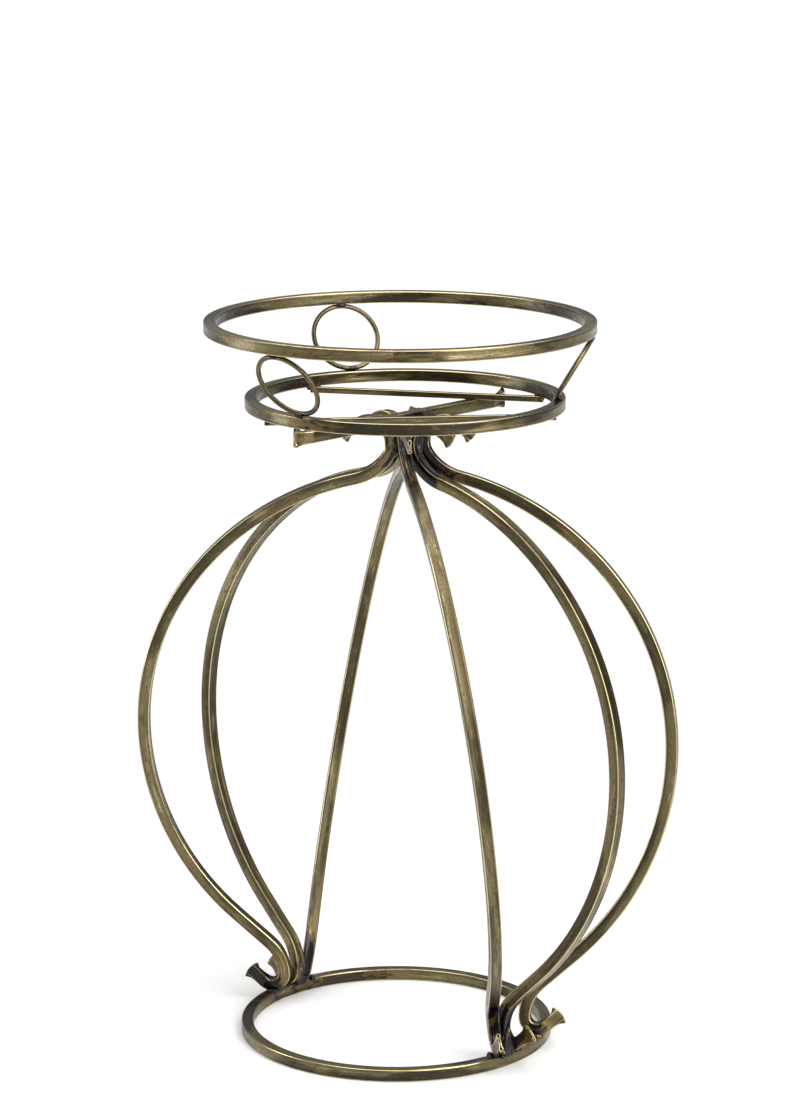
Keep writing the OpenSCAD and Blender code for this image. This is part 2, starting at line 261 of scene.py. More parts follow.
def ring_of(geometry, old=()):
    """The points and edges of the newest ring in what an operator returned."""
    verts = [item for item in geometry if isinstance(item, bmesh.types.BMVert) and item not in old]
    known = set(verts)
    edges = [item for item in geometry
             if isinstance(item, bmesh.types.BMEdge) and all(v in known for v in item.verts)]
    return verts, edges


# %% The bender
class Bender:
    """A bar on the bender, in the plane of x and z. The front ring is where the next run starts."""

    def __init__(self, state, side, corner, seed):
        self.bm = bmesh.new()
        layers = self.bm.verts.layers
        self.stock = layers.float_vector.new("stock")
        # This layer holds the worn corners and, below 0, the painted shade line beside each corner.
        self.wear_and_shade = layers.float.new("wear_and_shade")
        self.burn = layers.float.new("burn")
        self.half = side / 2
        self.flat = self.half - corner
        self.state = state
        self.fed = 0.0
        self.seed = seed
        self.bends = []
        draw_section(self.bm, side, corner)
        for vert in self.bm.verts:
            vert[self.stock] = (vert.co.x, vert.co.y, seed)
            vert[self.wear_and_shade] = corner_share(vert.co.x, vert.co.y, self.half, self.flat)
            vert.co = self.point(state, vert.co.x, vert.co.y, 0)
        self.front = (self.bm.verts[:], self.bm.edges[:])
        self.start = (self.front, state)

    def point(self, state, across, sideways, ahead):
        """A point beside the bar's centre line at a state."""
        x, z, heading = state
        return Vector((x + across * cos(heading) + ahead * sin(heading), sideways,
                       z - across * sin(heading) + ahead * cos(heading)))

    def move_on(self, geometry, length):
        """Takes the new ring as the front and notes how much bar has gone through."""
        self.front = ring_of(geometry, set(self.front[0]))
        self.fed += length
        for vert in self.front[0]:
            vert[self.stock].z = self.seed + self.fed

    def feed(self, length):
        steps = max(1, round(length / FEED_STEP))
        x, z, heading = self.state
        ahead = Vector((sin(heading), 0, cos(heading))) * (length / steps)
        for _ in range(steps):
            made = bmesh.ops.extrude_edge_only(self.bm, edges=self.front[1])["geom"]
            self.move_on(made, length / steps)
            bmesh.ops.translate(self.bm, verts=self.front[0], vec=ahead)
        self.state = after(self.state, (length, 0))

    def bend(self, radius, turn):
        side = 1 if turn > 0 else -1
        centre = self.point(self.state, side * radius, 0, 0)
        steps = max(LEAST_STEPS, round(radius * abs(turn) / FEED_STEP))
        self.bends.append((self.fed, self.fed + radius * abs(turn), side / radius))
        for _ in range(steps):
            made = bmesh.ops.spin(self.bm, geom=self.front[0] + self.front[1], cent=centre,
                                  axis=(0, 1, 0), angle=turn / steps, steps=1,
                                  use_duplicate=False)["geom_last"]
            self.move_on(made, radius * abs(turn) / steps)
        self.state = after(self.state, (radius, turn))

    def run(self, size, turn):
        if turn == 0:
            self.feed(size)
        else:
            self.bend(size, turn)


# %% Try the bender on one leg and print where its neck lands beside the planned place
probe = Bender(LEG_START, TUBE, CORNER, 0.0)
for leg_run in LEG_RUNS:
    probe.run(*leg_run)
print("neck reached at", [round(v, 5) for v in probe.state[:2]])
print("neck planned at", [round(NECK_X, 5), round(NECK_Z, 5)])
print("ring points", len(probe.front[0]), "faces", len(probe.bm.faces))
probe.bm.free()

# %% [markdown]
# ## Pinched ends
#
# Both ends of a leg are crushed in a press: the two side walls come together and the tube spreads
# into a fan. Where the walls fold, a small round channel stays open at either edge, so the cut end
# shows a slit with a keyhole at each end. The section is morphed from the square to that shape over
# the length of the fan, then turned over the cut edge and taken back inside as the inner wall.

# %% The shape of a pinched end
FAN_LENGTH, FAN_HALF = 17 * MM, 16.5 / 2 * MM
FOLD_R = 2 * MM
SLIT_HALF = 1.35 * MM
FOLD_EASE = 3.4 * MM
LEAST_WAIST = 0.12 * MM
FAN_STEPS = 10
FLARE = 1.9
CROWN = 2.2 * MM
TIP_HEAT, LIP_WEAR = 0.14, 0.8
LIP = 0.35 * MM
POCKET = 6 * MM


def ease(share):
    """0 at the start and 1 at the end of a change, with no kink at either."""
    return (1 - cos(pi * share)) / 2


def along_quarter(x, y, flat, corner):
    """Share of a quarter of the square's outline, from one side's middle to the next one's."""
    x, y = abs(x), abs(y)
    arc = corner * QUARTER
    if y <= flat:
        gone = y
    elif x <= flat:
        gone = flat + arc + flat - x
    else:
        gone = flat + corner * atan2(y - flat, x - flat)
    return gone / (2 * flat + arc)


def folded(share, reach, inset):
    """The same share along a quarter of the crushed outline, drawn in by `inset`."""
    fold = FOLD_R - inset
    waist = max(SLIT_HALF - inset, LEAST_WAIST)
    reach -= inset
    arc = fold * QUARTER
    straight = reach - fold
    gone = share * (arc + straight)
    if gone < arc:
        angle = gone / fold
        return straight + fold * cos(angle), fold * sin(angle)
    x = straight - (gone - arc)
    settled = ease(min(1.0, (straight - x) / FOLD_EASE))
    return x, fold + (waist - fold) * settled


def spot_key(stock):
    """A point's place in the section, as a key that survives rounding."""
    return round(stock.x / MM, 3), round(stock.y / MM, 3)


def pinch(bar, front, state, way, low, high):
    """Crushes the open end of a bar. `way` is 1 ahead of the state and -1 behind it."""
    bm, stock = bar.bm, bar.stock
    bent = {spot_key(vert[stock]): vert.co - bar.point(state, *vert[stock].xy, 0)
            for vert in front[0]}

    def shape(vert, share, inset):
        x, y, _ = vert[stock]
        shrink = (bar.half - inset) / bar.half
        reach = high if x > 0 else low
        to_x, to_y = folded(along_quarter(x, y, bar.flat, bar.half - bar.flat), reach, inset)
        to_x = to_x if x > 0 else -to_x
        to_y = to_y if y > 0 else -to_y
        x, y = x * shrink, y * shrink
        flared, flattened = ease(share ** FLARE), ease(share ** (1 / FLARE))
        return x + (to_x - x) * flared, y + (to_y - y) * flattened

    # A ring is its share of the crushed shape, how far ahead it lies, and its inset.
    outer = [(i / FAN_STEPS, i / FAN_STEPS * (FAN_LENGTH - LIP), 0)
             for i in range(1, FAN_STEPS + 1)]
    lip = [(1, FAN_LENGTH, LIP), (1, FAN_LENGTH, WALL - LIP), (1, FAN_LENGTH - LIP, WALL)]
    inner = [(i / FAN_STEPS, i / FAN_STEPS * (FAN_LENGTH - LIP), WALL)
             for i in range(FAN_STEPS - 1, -1, -1)]
    inner.append((0, -POCKET, WALL))
    for number, (share, ahead, inset) in enumerate(outer + lip + inner):
        made = bmesh.ops.extrude_edge_only(bm, edges=front[1])["geom"]
        front = ring_of(made, set(front[0]))
        for vert in front[0]:
            x, y = shape(vert, share, inset)
            crown = CROWN * (x / max(low, high)) ** 2 * share ** 4
            spot = bar.point(state, x, y, way * (ahead - crown))
            vert.co = spot + bent[spot_key(vert[stock])] * (1 - share)
            vert[bar.burn] = 1.0 if number >= len(outer + lip) else TIP_HEAT * share
        for vert in front[0]:
            vert[stock].z = bar.seed + (bar.fed if way > 0 else 0) + way * ahead
            if number in (len(outer), len(outer) + 1):
                vert[bar.wear_and_shade] = LIP_WEAR
    bmesh.ops.holes_fill(bm, edges=front[1], sides=0)


# %% [markdown]
# ## Where the heat went
#
# Next to every weld the brass finish is scorched: black at the weld, then a band of brown and
# straw colour, then brass again. The places are known, so each point of every piece gets one
# number, `burn`, that falls off with its distance from the nearest weld. The material turns that
# number into soot and heat colours, with noise to make the border ragged. Where two hot places
# overlap, the hotter one counts.

# %% The scorched places
SCORCHED = []


def heat_at(spot):
    """Strongest heat at a point: full at a hot place, nothing at the end of its reach."""
    heat = 0.0
    for place, reach, strength in SCORCHED:
        gone = (spot - place).length / reach
        if gone < 1:
            heat = max(heat, strength * ease(1 - gone))
    return heat


def ring_spot(ring, radius, angle, up=0.0):
    """A point on a ring's centre line, or so far above it."""
    return ring + Vector((radius * cos(angle), radius * sin(angle), HALF + up))


# %% Heat at the feet and at the neck
# Leg, height, way outwards and reach in millimetres, and how strong.
FOOT_HEAT = [(leg, 16, 0, 20, 0.75) for leg in LEGS]
FOOT_HEAT += [("leg_front_right", 28, -4, 36, 1.0), ("leg_front", 48, 6, 25, 0.85),
              ("leg_rear", 22, 0, 50, 1.0), ("leg_left", 20, 20, 48, 1.0)]
# Place from the neck's middle and the hooks' top, reach, and how strong.
NECK_HEAT = [((12, -9, -23), 58, 1.0), ((9, -22, -50), 38, 0.85)]

for leg, height, out, reach, strength in FOOT_HEAT:
    place = (foot_place(leg) + outward(leg) * out * MM).to_3d() + Vector((0, 0, height * MM))
    SCORCHED.append((place, reach * MM, strength))
for place, reach, strength in NECK_HEAT:
    place = Vector((NECK.x, NECK.y, NECK_TOP)) + Vector(place) * MM
    SCORCHED.append((place, reach * MM, strength))
print("hot places on the legs:", len(SCORCHED))

# %% Heat on the rings
BASE_SEAM, HOLDER_SEAM, GUARD_SEAM = radians(94), radians(235), radians(268)
HOOPS = {"hoop_left": radians(230), "hoop_right": radians(351), "hoop_rear": radians(110)}
FRONT_ROD_ENDS, REAR_ROD_ENDS = (206, 346), (24, 129)
UNDER_LEFT_FEET = (126, 137, 148, 159)
# Ring, radius, angle, height over the centre line, reach in millimetres, and how strong.
RING_HEAT = [(BASE_AT, BASE_R, BASE_SEAM, HALF, 50, 0.8),
             (HOLDER_AT, HOLDER_R, HOLDER_SEAM, 0, 34, 0.9),
             (GUARD_AT, GUARD_R, GUARD_SEAM, 0, 60, 0.4),
             (GUARD_AT, GUARD_R, radians(243), 0, 50, 0.6)]
RING_HEAT += [(BASE_AT, BASE_R, radians(angle), 0, 22, 1.2) for angle in UNDER_LEFT_FEET]
for angle in HOOPS.values():
    RING_HEAT += [(HOLDER_AT, HOLDER_R, angle, HALF, 9, 1.0),
                  (GUARD_AT, GUARD_R, angle, -HALF, 9, 1.0)]
for angle in FRONT_ROD_ENDS + REAR_ROD_ENDS:
    RING_HEAT.append((HOLDER_AT, HOLDER_R, radians(angle), -HALF, 11, 1.0))

for *place, reach, strength in RING_HEAT:
    SCORCHED.append((ring_spot(*place), reach * MM, strength))
print("hot places in all:", len(SCORCHED))

# %% [markdown]
# ## Antique brass
#
# The real finish is thin brass on steel, darkened in a bath and then brushed by hand, so brass
# shines through in streaks along the tube, most of all on the corners. A photograph of such a tube
# could be wrapped round it, but it would repeat and blur. Instead the streaks are noise, stretched
# more than twenty times longer along the bar than across it, and read from the bar coordinates.
#
# The bath also leaves dark patches and pits on the flats. The dark line beside each corner is
# painted shade.
# Burnt zones lie over all that, but even there the corners keep a bright line. Streaks and patina
# are used by every material, so each is a node group, built once.

# %% Wiring shader trees
class Wiring:
    """Adds nodes to a tree. An input may be a plain value or another node's output."""

    def __init__(self, tree):
        self.tree = tree

    def node(self, kind, inputs, **settings):
        made = self.tree.nodes.new("ShaderNode" + kind)
        for key, value in settings.items():
            setattr(made, key, value)
        for key, value in inputs.items():
            if isinstance(value, bpy.types.NodeSocket):
                self.tree.links.new(value, made.inputs[key])
            else:
                made.inputs[key].default_value = value
        return made

    def math(self, operation, a, b=0.0, c=0.0):
        return self.node("Math", {0: a, 1: b, 2: c}, operation=operation).outputs[0]

    def scale(self, vector, factors):
        return self.node("VectorMath", {0: vector, 1: factors}, operation="MULTIPLY").outputs[0]

    def noise(self, vector, detail, roughness=0.55):
        made = self.node("TexNoise", {"Vector": vector, "Scale": 1.0, "Detail": detail,
                                      "Roughness": roughness})
        return made.outputs["Fac"]

    def between(self, value, low, high):
        made = self.node("MapRange", {"Value": value, "From Min": low, "From Max": high},
                         interpolation_type="SMOOTHSTEP")
        return made.outputs["Result"]

    def mix(self, share, a, b):
        return self.node("Mix", {0: share, 6: a, 7: b}, data_type="RGBA").outputs[2]


def new_group(name, inputs, outputs):
    tree = bpy.data.node_groups.new(name, "ShaderNodeTree")
    for way, sockets in (("INPUT", inputs), ("OUTPUT", outputs)):
        for socket, kind in sockets.items():
            tree.interface.new_socket(socket, in_out=way, socket_type="NodeSocket" + kind)
    enter, leave = tree.nodes.new("NodeGroupInput"), tree.nodes.new("NodeGroupOutput")
    return Wiring(tree), enter.outputs, leave.inputs


# %% The brushed grain
STREAK_SCALE = (0.28, 0.28, 0.2)
STREAK_DEPTH = 0.5


def build_grain():
    wires, given, out = new_group(
        "Brushed grain",
        {"Stock": "Vector", "Hairlines per metre": "Float", "Length share": "Float"},
        {"Hairlines": "Float", "Streaks": "Float", "Height": "Float"})
    along = wires.math("MULTIPLY", given["Hairlines per metre"], given["Length share"])
    factors = wires.node("CombineXYZ", {0: given["Hairlines per metre"],
                                        1: given["Hairlines per metre"], 2: along}).outputs[0]
    lines = wires.scale(given["Stock"], factors)
    hairlines = wires.noise(lines, 3)
    streaks = wires.noise(wires.scale(lines, STREAK_SCALE), 4, 0.65)
    height = wires.math("MULTIPLY_ADD", streaks, STREAK_DEPTH, hairlines)
    for name, value in (("Hairlines", hairlines), ("Streaks", streaks), ("Height", height)):
        wires.tree.links.new(value, out[name])
    return wires.tree


GRAIN = build_grain()
print("grain is built from", len(GRAIN.nodes), "nodes")

# %% The patina
# Noise scales, in bumps per metre: across the bar both ways, then along it.
CLOUDS, HUES, PATCHES = (150, 150, 16), (150, 150, 22), (45, 45, 8)
PITS, MOTTLE = (1100, 1100, 550), (260, 260, 90)
# Where each effect begins and where it is full.
RUBBED_EDGE, HUE_EDGE, CORNER_EDGE = (0.77, 0.97), (0.42, 0.58), (0.3, 0.9)
# Among these, the values for the corner line set a line of painted shade beside each corner.
PATCH_EDGE, PIT_EDGE, PAINTED_SHADE_LINE_EDGE = (0.44, 0.55), (0.52, 0.7), (0.15, 0.75)
STRAW_EDGE, SOOT_EDGE = (0.1, 0.34), (0.34, 0.56)
# How much of each effect shows at most.
RUBBED_MOST, PIT_MOST, PAINTED_SHADE_LINE_MOST, STRAW_MOST = 0.7, 0.7, 0.3, 0.5
SOOT_OFF_CORNER, SOOT_DULLS = 0.5, 0.2
HEAT_SPREAD = 1.5
BARE_ROUGHNESS = 0.28
BRIGHT_BRASS = (0.74, 0.62, 0.34, 1)
AGED_BRASS, BROWN_BRASS = (0.163, 0.137, 0.061, 1), (0.166, 0.125, 0.063, 1)
# The pit colour also paints the shade line beside each corner.
PATCH_BROWN, PIT_AND_SHADE_BROWN = (0.026, 0.021, 0.011, 1), (0.03, 0.024, 0.014, 1)
STRAW, SOOT_BLACK = (0.2, 0.125, 0.045, 1), (0.014, 0.012, 0.012, 1)


def build_patina():
    wires, given, out = new_group(
        "Brass patina",
        {"Stock": "Vector", "Hairlines": "Float", "Streaks": "Float", "Wear and shade": "Float",
         "Burn": "Float", "Rubbed": "Float", "Patchy": "Float"},
        {"Color": "Color", "Roughness": "Float", "Metallic": "Float", "Flatness": "Float"})

    def spots(scales, detail, roughness=0.55):
        return wires.noise(wires.scale(given["Stock"], scales), detail, roughness)

    corner = wires.between(given["Wear and shade"], *CORNER_EDGE)
    flatness = wires.math("SUBTRACT", 1.0, corner)

    # Brass shines through in streaks, and most of all on the corners.
    rubbed = given["Rubbed"]
    for marks, share in ((given["Streaks"], 0.6), (spots(CLOUDS, 3), 0.5),
                         (given["Hairlines"], 0.4)):
        rubbed = wires.math("MULTIPLY_ADD", marks, share, rubbed)
    rubbed = wires.math("MULTIPLY", wires.between(rubbed, *RUBBED_EDGE), RUBBED_MOST)
    rubbed = wires.math("MAXIMUM", rubbed, wires.math("MULTIPLY", corner, RUBBED_MOST))
    aged = wires.mix(wires.between(spots(HUES, 2), *HUE_EDGE), AGED_BRASS, BROWN_BRASS)
    color = wires.mix(rubbed, aged, BRIGHT_BRASS)

    # Dark patches and pits on the flats, and a line of painted shade beside each corner.
    patches = wires.between(spots(PATCHES, 4, 0.6), *PATCH_EDGE)
    patches = wires.math("MULTIPLY", wires.math("MULTIPLY", patches, given["Patchy"]), flatness)
    color = wires.mix(patches, color, PATCH_BROWN)
    pits_and_shade = wires.math("MULTIPLY", wires.between(spots(PITS, 3), *PIT_EDGE), PIT_MOST)
    pits_and_shade = wires.math("MULTIPLY", pits_and_shade, flatness)
    # Painted shade: a dark line beside each corner, from the corner layer below 0, mixed with the
    # pits.
    painted_shade_line = wires.between(wires.math("MULTIPLY", given["Wear and shade"], -1.0), *PAINTED_SHADE_LINE_EDGE)
    pits_and_shade = wires.math("MAXIMUM", pits_and_shade, wires.math("MULTIPLY", painted_shade_line, PAINTED_SHADE_LINE_MOST))
    color = wires.mix(pits_and_shade, color, PIT_AND_SHADE_BROWN)

    # Heat leaves straw colour first, then soot, which a polished corner shows through.
    ragged = wires.math("SUBTRACT", spots(MOTTLE, 4, 0.6), 0.5)
    heat = wires.math("MULTIPLY_ADD", ragged, HEAT_SPREAD, given["Burn"])
    straw = wires.math("MULTIPLY", wires.between(heat, *STRAW_EDGE), STRAW_MOST)
    color = wires.mix(straw, color, STRAW)
    soot = wires.between(heat, *SOOT_EDGE)
    soot = wires.math("MULTIPLY", soot, wires.math("MULTIPLY_ADD", corner, -SOOT_OFF_CORNER, 1.0))
    color = wires.mix(soot, color, SOOT_BLACK)

    rough = BARE_ROUGHNESS
    for effect, share in ((given["Hairlines"], 0.2), (corner, -0.18), (pits_and_shade, 0.2), (soot, -0.18)):
        rough = wires.math("MULTIPLY_ADD", effect, share, rough)
    metallic = wires.math("MULTIPLY_ADD", soot, -SOOT_DULLS, 1.0)
    for name, value in (("Color", color), ("Roughness", rough), ("Metallic", metallic),
                        ("Flatness", flatness)):
        wires.tree.links.new(value, out[name])
    return wires.tree


PATINA = build_patina()
print("patina is built from", len(PATINA.nodes), "nodes")

# %% The finishes, one for each slot
BUMP_DEPTH = 0.12 * MM
LACQUER, LACQUER_ROUGHNESS = 0.25, 0.12


def brass(name, hairlines=2600, length=0.05, rubbed=0.0, patchy=0.74, bump=0.5):
    material = bpy.data.materials.new(name)
    material.use_nodes = True
    wires = Wiring(material.node_tree)
    shader = material.node_tree.nodes["Principled BSDF"]
    stock, wear_and_shade, burn = (wires.node("Attribute", {}, attribute_name=layer).outputs[kind]
                         for layer, kind in (("stock", "Vector"), ("wear_and_shade", "Fac"), ("burn", "Fac")))
    grain = wires.node("Group", {"Stock": stock, "Hairlines per metre": hairlines,
                                 "Length share": length}, node_tree=GRAIN).outputs
    patina = wires.node("Group", {
        "Stock": stock, "Wear and shade": wear_and_shade, "Burn": burn, "Hairlines": grain["Hairlines"],
        "Streaks": grain["Streaks"], "Rubbed": rubbed, "Patchy": patchy}, node_tree=PATINA).outputs
    height = wires.math("MULTIPLY", grain["Height"], patina["Flatness"])
    relief = wires.node("Bump", {"Height": height, "Strength": bump, "Distance": BUMP_DEPTH})
    for socket, value in (("Base Color", patina["Color"]), ("Roughness", patina["Roughness"]),
                          ("Metallic", patina["Metallic"]), ("Normal", relief.outputs[0])):
        wires.tree.links.new(value, shader.inputs[socket])
    shader.inputs["Coat Weight"].default_value = LACQUER
    shader.inputs["Coat Roughness"].default_value = LACQUER_ROUGHNESS
    return material


FINISHES = {
    "ring_tube": brass("antique_brass_ring", patchy=0.95),
    "leg_tube": brass("antique_brass_leg"),
    "crossbar_tube": brass("antique_brass_crossbar", rubbed=-0.1),
    "rod_steel": brass("antique_brass_rod"),
    "hoop_wire": brass("antique_brass_wire"),
    "weld": brass("scorched_weld", hairlines=500, length=1.0, rubbed=-0.5, bump=0.6),
}
print("finishes:", ", ".join(FINISHES))

# %% [markdown]
# ## From bmesh to a piece
#
# Every finished bar goes through the same few steps: normals outwards, heat from the welds, smooth
# shading, its finish, the CAD node that it stands for hidden, and a parent that it moves with. The
# printed line compares its box with the CAD node's, so a piece that landed wrong is seen at once.

# %% Finish a piece
def make_piece(bm, name, node, slot, soot=1.0):
    """Makes the piece that stands for a CAD node. `soot` scales the heat it takes."""
    bmesh.ops.recalc_face_normals(bm, faces=bm.faces[:])
    burn = bm.verts.layers.float.get("burn") or bm.verts.layers.float.new("burn")
    for vert in bm.verts:
        vert[burn] = max(vert[burn], soot * heat_at(vert.co))
    mesh = bpy.data.meshes.new(name)
    bm.to_mesh(mesh)
    bm.free()
    mesh.shade_smooth()
    piece = bpy.data.objects.new(name, mesh)
    bpy.context.scene.collection.objects.link(piece)
    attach(piece, "root")
    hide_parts(node)
    low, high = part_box(node)
    mine = [[c[i] for c in (v.co for v in mesh.vertices)] for i in range(3)]
    off = max(max(abs(min(mine[i]) - low[i]), abs(max(mine[i]) - high[i])) for i in range(3))
    print(f"{name}: {len(mesh.polygons)} faces, box off by {off / MM:.2f} mm")
    mesh.materials.append(FINISHES[slot])


# %% [markdown]
# ## Hand-bent metal
#
# A tube that is bent over a former isn't perfect. Its flats are dished a little, and more so in a
# bend. Its side walls bulge, and its inner wall sinks where the bend is tight. All faces wave by a
# tenth of a millimetre, which is what makes a long reflection waver. These are small moves along
# each point's own normal.

# %% Dents and waves
DISH_SHARE, BEND_DISH_SHARE, BULGE_SHARE = 0.03, 0.13, 0.045
SINK_AT_TIGHTEST = 0.9 * MM
TIGHTEST_R = 30 * MM
WAVE = 0.10 * MM
WAVES_PER_METRE, WAVES_ACROSS = 22, 60
SOFTEN = 6 * MM


def bend_at(bar, fed):
    """How sharply the bar is bent there, softened over the ends of each bend."""
    total = 0.0
    for begin, end, curve in bar.bends:
        covered = min(fed + SOFTEN, end) - max(fed - SOFTEN, begin)
        total += curve * max(0.0, covered) / (2 * SOFTEN)
    return total


def hollow(x, y, flat):
    """1 in the middle of a flat and 0 at its corners."""
    across = min(abs(x), abs(y)) / flat
    return max(0.0, 1 - across ** 2)


def work_by_hand(bar):
    """Dishes and waves the faces of a bar that is still open at both ends."""
    bar.bm.normal_update()
    moves = []
    for vert in bar.bm.verts:
        x, y, along = vert[bar.stock]
        curve = bend_at(bar, along - bar.seed)
        tightness = min(abs(curve) * TIGHTEST_R, 1.0)
        inner_face = (x * curve > 0) * (abs(x) > bar.flat)
        if abs(y) > bar.flat:
            dish = -bar.half * BULGE_SHARE
        else:
            dish = bar.half * (DISH_SHARE + BEND_DISH_SHARE * tightness)
            dish += SINK_AT_TIGHTEST * tightness * inner_face
        spot = Vector((x * WAVES_ACROSS, y * WAVES_ACROSS, along * WAVES_PER_METRE))
        wave = WAVE * (noise.noise(spot) - 1) / 2
        moves.append((vert, vert.normal * (wave - dish * hollow(x, y, bar.flat))))
    for vert, move in moves:
        vert.co += move


# %% Bend the six legs
# A bar's seed says which stretch of the noise it reads.
SEED_STEP = 3.0


def bend_leg(leg, seed):
    bar = Bender(LEG_START, TUBE, CORNER, seed)
    for run in LEG_RUNS:
        bar.run(*run)
    bar.feed(neck_rise(leg))
    bar.bend(NECK_HOOK_R, QUARTER + NECK_DROP)
    bar.feed(TIP_RUN)
    bmesh.ops.recalc_face_normals(bar.bm, faces=bar.bm.faces[:])
    work_by_hand(bar)
    pinch(bar, bar.front, bar.state, 1, FAN_HALF, FAN_HALF)
    pinch(bar, *bar.start, -1, FAN_HALF, FAN_HALF)
    bmesh.ops.transform(bar.bm, matrix=leg_place(leg), verts=bar.bm.verts[:])
    return bar


for number, leg in enumerate(LEGS):
    bar = bend_leg(leg, number * SEED_STEP)
    make_piece(bar.bm, leg + "_tube", leg, "leg_tube")

# %% [markdown]
# ## The three rings
#
# Each ring is a length of the same tube, rolled round and closed with a butt weld. On screen that
# is one `spin` of the section through a full turn with `use_merge`, which joins the last ring of
# points to the first. The brush lines have to stop somewhere, and on the real ring they stop at
# the butt weld. A point can only remember one place on the bar, but the corners of its faces can
# remember two, so the rings keep their bar coordinates on face corners. The rings are less sooty
# than the legs, so they take only a part of the heat.

# %% Roll a bar into a ring
FULL_TURN = 2 * pi
WELD_TRACE = 0.25 * MM
WELD_TRACE_HALF = 2.5 * MM
FILED_LEAST, FILED_MORE, FILE_MARKS_PER_METRE = 0.6, 0.4, 900
RING_SOOT = 0.45


def add_layers(bm):
    """Adds the bar coordinates, kept on face corners, and the corner layer with its painted shade,
    which it returns.
    """
    bm.loops.layers.float_vector.new("stock")
    return bm.verts.layers.float.new("wear_and_shade")


def unroll(bm, radius, seed):
    """Gives each face corner its place on the straight bar, with the bar's ends at angle 0."""
    stock = bm.loops.layers.float_vector["stock"]
    for face in bm.faces:
        angles = [atan2(loop.vert.co.y, loop.vert.co.x) % FULL_TURN for loop in face.loops]
        across_seam = max(angles) - min(angles) > pi
        for loop, angle in zip(face.loops, angles):
            if across_seam and angle < pi:
                angle += FULL_TURN
            out = hypot(loop.vert.co.x, loop.vert.co.y) - radius
            loop[stock] = (out, loop.vert.co.z, seed + radius * angle)


def dress_butt_weld(bm, radius, seed):
    """Sinks a rough trace where the bar's ends were welded together and filed."""
    bm.normal_update()
    for vert in bm.verts:
        angle = (atan2(vert.co.y, vert.co.x) + pi) % FULL_TURN - pi
        near = abs(angle) * radius / WELD_TRACE_HALF
        filed = noise.noise(vert.co * FILE_MARKS_PER_METRE + Vector((seed, 0, 0)))
        trace = WELD_TRACE * (FILED_LEAST + FILED_MORE * filed) * max(0.0, 1 - near ** 2)
        wave = WAVE * (noise.noise(vert.co * WAVES_PER_METRE + Vector((0, seed, 0))) - 1) / 2
        out = hypot(vert.co.x, vert.co.y) - radius
        dish = HALF * DISH_SHARE * hollow(out, vert.co.z, FLAT)
        vert.co += vert.normal * (wave - dish - trace)


def roll_ring(name, centre, radius, seam, seed):
    """A ring of square tube, with its butt weld at the angle `seam`."""
    bm = bmesh.new()
    draw_section(bm, TUBE, CORNER)
    wear_and_shade = add_layers(bm)
    for vert in bm.verts:
        vert[wear_and_shade] = corner_share(vert.co.x, vert.co.y, HALF, FLAT)
        vert.co = (radius + vert.co.x, 0, vert.co.y)
    bmesh.ops.spin(bm, geom=bm.verts[:] + bm.edges[:], cent=(0, 0, 0), axis=(0, 0, 1),
                   angle=FULL_TURN, steps=round(FULL_TURN * radius / FEED_STEP),
                   use_merge=True, use_duplicate=False)
    bmesh.ops.recalc_face_normals(bm, faces=bm.faces[:])
    unroll(bm, radius, seed)
    dress_butt_weld(bm, radius, seed)
    lift = Vector((centre.x, centre.y, centre.z + HALF))
    place = Matrix.Translation(lift) @ Matrix.Rotation(seam, 4, "Z")
    bmesh.ops.transform(bm, matrix=place, verts=bm.verts[:])
    make_piece(bm, name + "_tube", name, "ring_tube", RING_SOOT)


for ring in (("base_ring", BASE_AT, BASE_R, BASE_SEAM, 21.3),
             ("holder_ring", HOLDER_AT, HOLDER_R, HOLDER_SEAM, 24.6),
             ("guard_ring", GUARD_AT, GUARD_R, GUARD_SEAM, 27.1)):
    roll_ring(*ring)

# %% [markdown]
# ## The crossbar and the two rods
#
# The crossbar is a straight piece of the leg tube, crushed at both ends like the legs. Its ends
# spread upwards to the holder ring, more than downwards. The rods are solid square bar, sawn off,
# so their ends are closed with a small bevel.

# %% Crossbar
BAR_ANGLE = radians(47)
BAR_FAN_UP, BAR_FAN_DOWN = HALF + ROD, 7 * MM
BAR_SEED = 30


def bar_reach(side):
    """How far the crossbar goes from the neck to the holder ring's centre line."""
    off = NECK - HOLDER_AT.xy
    way = side * Vector((cos(BAR_ANGLE), sin(BAR_ANGLE)))
    return sqrt(off.dot(way) ** 2 - off.dot(off) + HOLDER_R ** 2) - off.dot(way)


front_end, rear_end = bar_reach(-1) - FAN_LENGTH, bar_reach(1) - FAN_LENGTH
bar = Bender((-front_end, 0, QUARTER), TUBE, CORNER, BAR_SEED)
bar.feed(front_end + rear_end)
bmesh.ops.recalc_face_normals(bar.bm, faces=bar.bm.faces[:])
work_by_hand(bar)
pinch(bar, bar.front, bar.state, 1, BAR_FAN_UP, BAR_FAN_DOWN)
pinch(bar, *bar.start, -1, BAR_FAN_UP, BAR_FAN_DOWN)
place = Matrix.Translation((NECK.x, NECK.y, BAR_Z)) @ Matrix.Rotation(BAR_ANGLE, 4, "Z")
bmesh.ops.transform(bar.bm, matrix=place, verts=bar.bm.verts[:])
make_piece(bar.bm, "crossbar_tube", "crossbar", "crossbar_tube")

# %% Rods
ROD_CORNER = 0.6 * MM
ROD_LAP = 4.5 * MM
SAW_BEVEL = 0.25 * MM


def close_sawn_end(bar, front, state, way):
    """Bevels the rim of a solid bar a little and closes the face."""
    made = bmesh.ops.extrude_edge_only(bar.bm, edges=front[1])["geom"]
    rim = ring_of(made, set(front[0]))
    shrink = 1 - SAW_BEVEL / bar.half
    for vert in rim[0]:
        x, y, _ = vert[bar.stock]
        vert.co = bar.point(state, x * shrink, y * shrink, way * SAW_BEVEL)
    bmesh.ops.holes_fill(bar.bm, edges=rim[1], sides=0)


